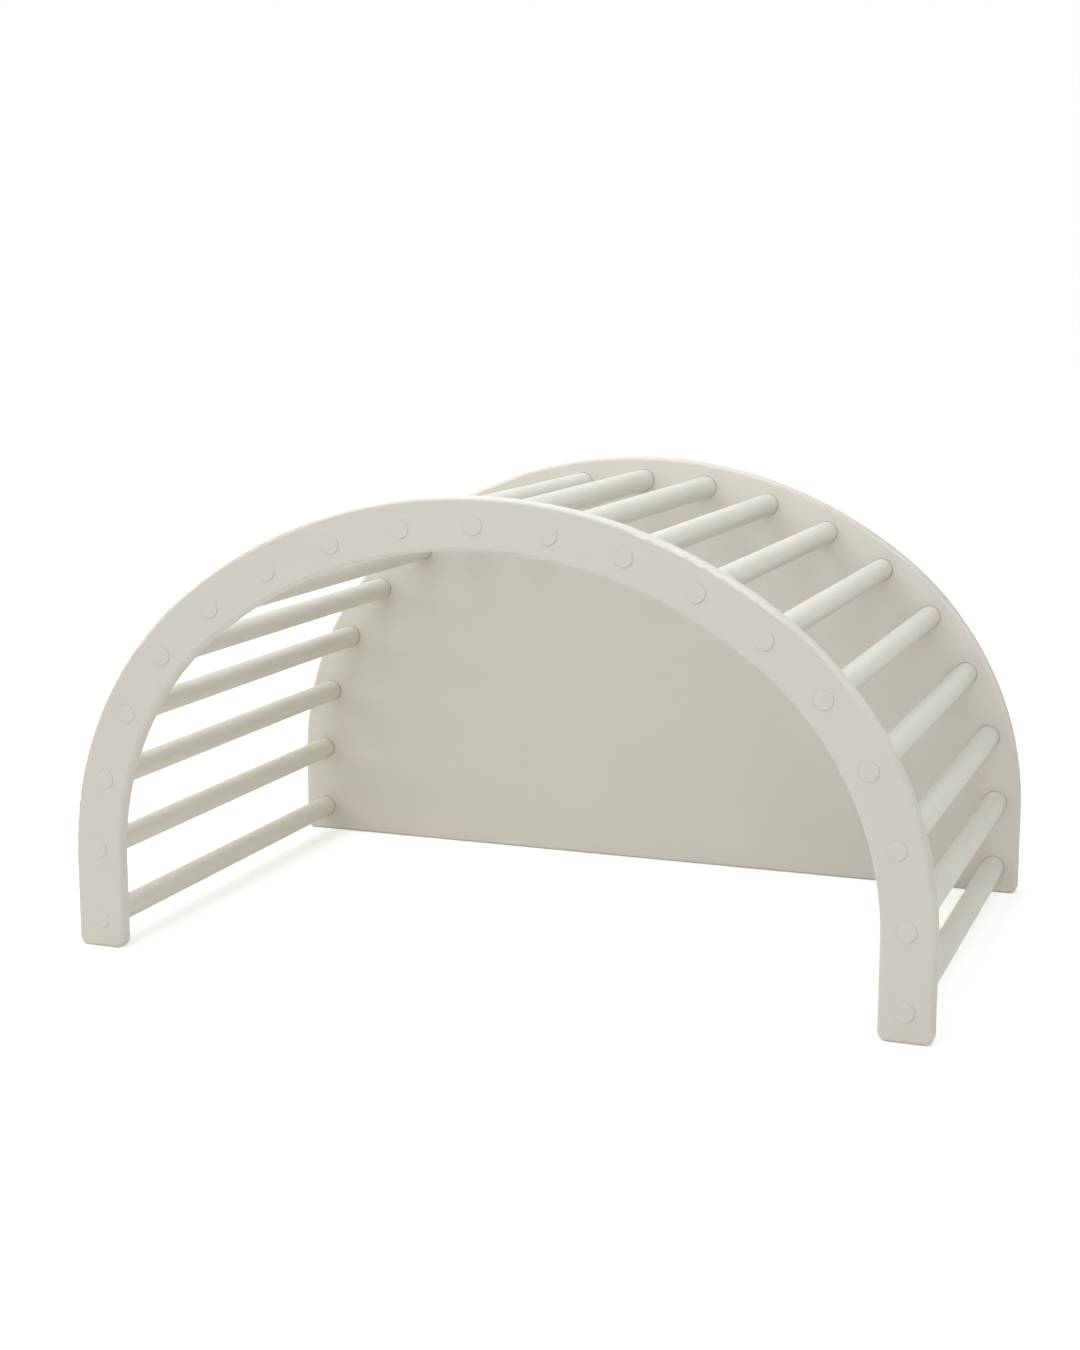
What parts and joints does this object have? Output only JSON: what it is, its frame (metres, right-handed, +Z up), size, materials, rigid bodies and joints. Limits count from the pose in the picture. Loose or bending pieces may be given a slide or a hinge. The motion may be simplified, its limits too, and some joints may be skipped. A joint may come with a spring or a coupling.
{
  "type": "wooden rocker arch",
  "caption": "Free-standing climbing arch of painted wood: an open arch board and a solid back board joined by round rungs; upside down it rocks on its curved edges",
  "frame": {"origin": "on the floor, under the middle of the arch", "axes": "+X along the length, +Y from the open front board to the solid back board, +Z up"},
  "size_m": [0.9, 0.5536, 0.487],
  "materials": {
    "painted_board": "satin warm off-white paint on board",
    "painted_rung": "satin warm off-white paint on turned bars, faint grain",
    "painted_plug": "satin warm off-white paint",
    "zinc_steel": "zinc plated"
  },
  "bodies": {
    "root": {"front_arch": "painted_board", "back_panel": "painted_board", "rung_01": "painted_rung", "rung_02": "painted_rung", "rung_03": "painted_rung", "rung_04": "painted_rung", "rung_05": "painted_rung", "rung_06": "painted_rung", "rung_07": "painted_rung", "rung_08": "painted_rung", "rung_09": "painted_rung", "rung_10": "painted_rung", "rung_11": "painted_rung", "rung_12": "painted_rung", "rung_13": "painted_rung", "rung_14": "painted_rung", "rung_15": "painted_rung", "rung_16": "painted_rung", "rung_17": "painted_rung", "rung_18": "painted_rung", "rung_19": "painted_rung", "front_screws": "zinc_steel", "back_screws": "zinc_steel", "front_plugs": "painted_plug", "back_plugs": "painted_plug"}
  },
  "joints": []
}
